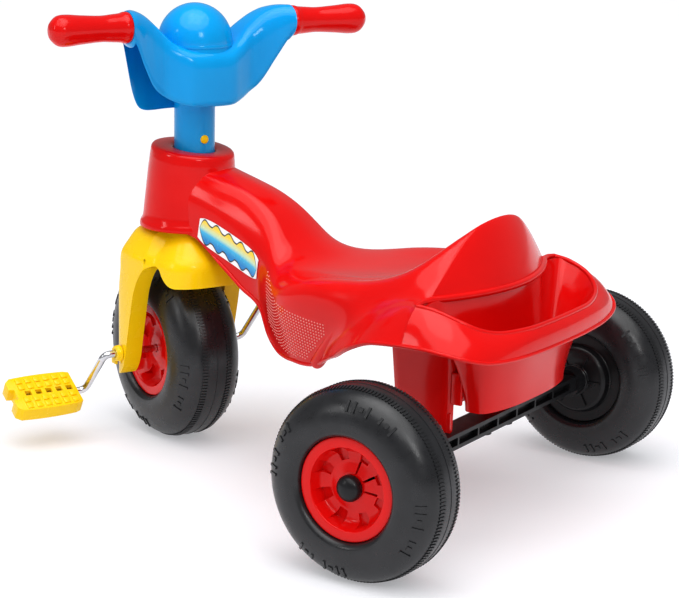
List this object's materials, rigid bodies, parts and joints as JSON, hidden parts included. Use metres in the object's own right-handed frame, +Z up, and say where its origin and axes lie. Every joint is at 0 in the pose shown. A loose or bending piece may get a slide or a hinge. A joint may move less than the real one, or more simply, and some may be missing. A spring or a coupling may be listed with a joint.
{
  "type": "children's tricycle",
  "caption": "Toddler's pedal tricycle: moulded seat and tray body, steering handlebar and fork, crank-driven front wheel, free rear wheels.",
  "frame": {"origin": "on the floor, under the middle of the overall box at rest", "axes": "+X forward along the tricycle, +Y to the rider's left, +Z up"},
  "size_m": [0.6294, 0.5402, 0.487],
  "materials": {
    "red_plastic": "glossy moulded red",
    "blue_plastic": "glossy moulded blue",
    "yellow_plastic": "glossy moulded yellow",
    "black_plastic": "satin black",
    "tyre_plastic": "satin charcoal, moulded tread",
    "steel": "bright plated",
    "sticker_film": "printed film, plain wave pattern"
  },
  "bodies": {
    "frame": {"frame_body": "red_plastic", "sticker_left": "sticker_film", "sticker_right": "sticker_film", "axle_beam": "black_plastic", "beam_screw_left": "steel", "beam_screw_right": "steel", "rear_axle_rod": "steel", "axle_washer_left": "steel", "axle_cap_left": "black_plastic", "axle_washer_right": "steel", "axle_cap_right": "black_plastic"},
    "rear_wheel_left": {"rear_tyre_left": "tyre_plastic", "rear_rim_left": "red_plastic", "rear_hub_left": "black_plastic"},
    "rear_wheel_right": {"rear_tyre_right": "tyre_plastic", "rear_rim_right": "red_plastic", "rear_hub_right": "black_plastic"},
    "steering": {"handlebar": "blue_plastic", "grip_left": "red_plastic", "grip_right": "red_plastic", "lock_button": "yellow_plastic", "steering_fork": "yellow_plastic", "fork_clip_left": "yellow_plastic", "fork_clip_right": "yellow_plastic"},
    "front_wheel": {"front_tyre": "tyre_plastic", "front_hub_left": "red_plastic", "front_hub_right": "red_plastic", "crank_rod": "steel"},
    "pedal_l": {"pedal_left": "yellow_plastic"},
    "pedal_r": {"pedal_right": "yellow_plastic"}
  },
  "joints": [
    {"name": "steer", "type": "hinge", "parent": "frame", "child": "steering", "pos_m": [0.14978, 0, 0.29], "axis": [0, 0, 1], "range_deg": [-16, 64]},
    {"name": "rear_left_spin", "type": "hinge", "parent": "frame", "child": "rear_wheel_left", "pos_m": [-0.22222, 0.233, 0.0925], "axis": [0, 1, 0], "continuous": true},
    {"name": "rear_right_spin", "type": "hinge", "parent": "frame", "child": "rear_wheel_right", "pos_m": [-0.22222, -0.233, 0.0925], "axis": [0, 1, 0], "continuous": true},
    {"name": "front_spin", "type": "hinge", "parent": "steering", "child": "front_wheel", "pos_m": [0.18998, -0.0179, 0.1], "axis": [0.4067, 0.9135, 0], "continuous": true},
    {"name": "pedal_left_turn", "type": "hinge", "parent": "front_wheel", "child": "pedal_l", "pos_m": [0.21858, -0.03063, 0.05357], "axis": [0.4067, 0.9135, 0], "continuous": true},
    {"name": "pedal_right_turn", "type": "hinge", "parent": "front_wheel", "child": "pedal_r", "pos_m": [0.16137, -0.00516, 0.14643], "axis": [0.4067, 0.9135, 0], "continuous": true}
  ]
}
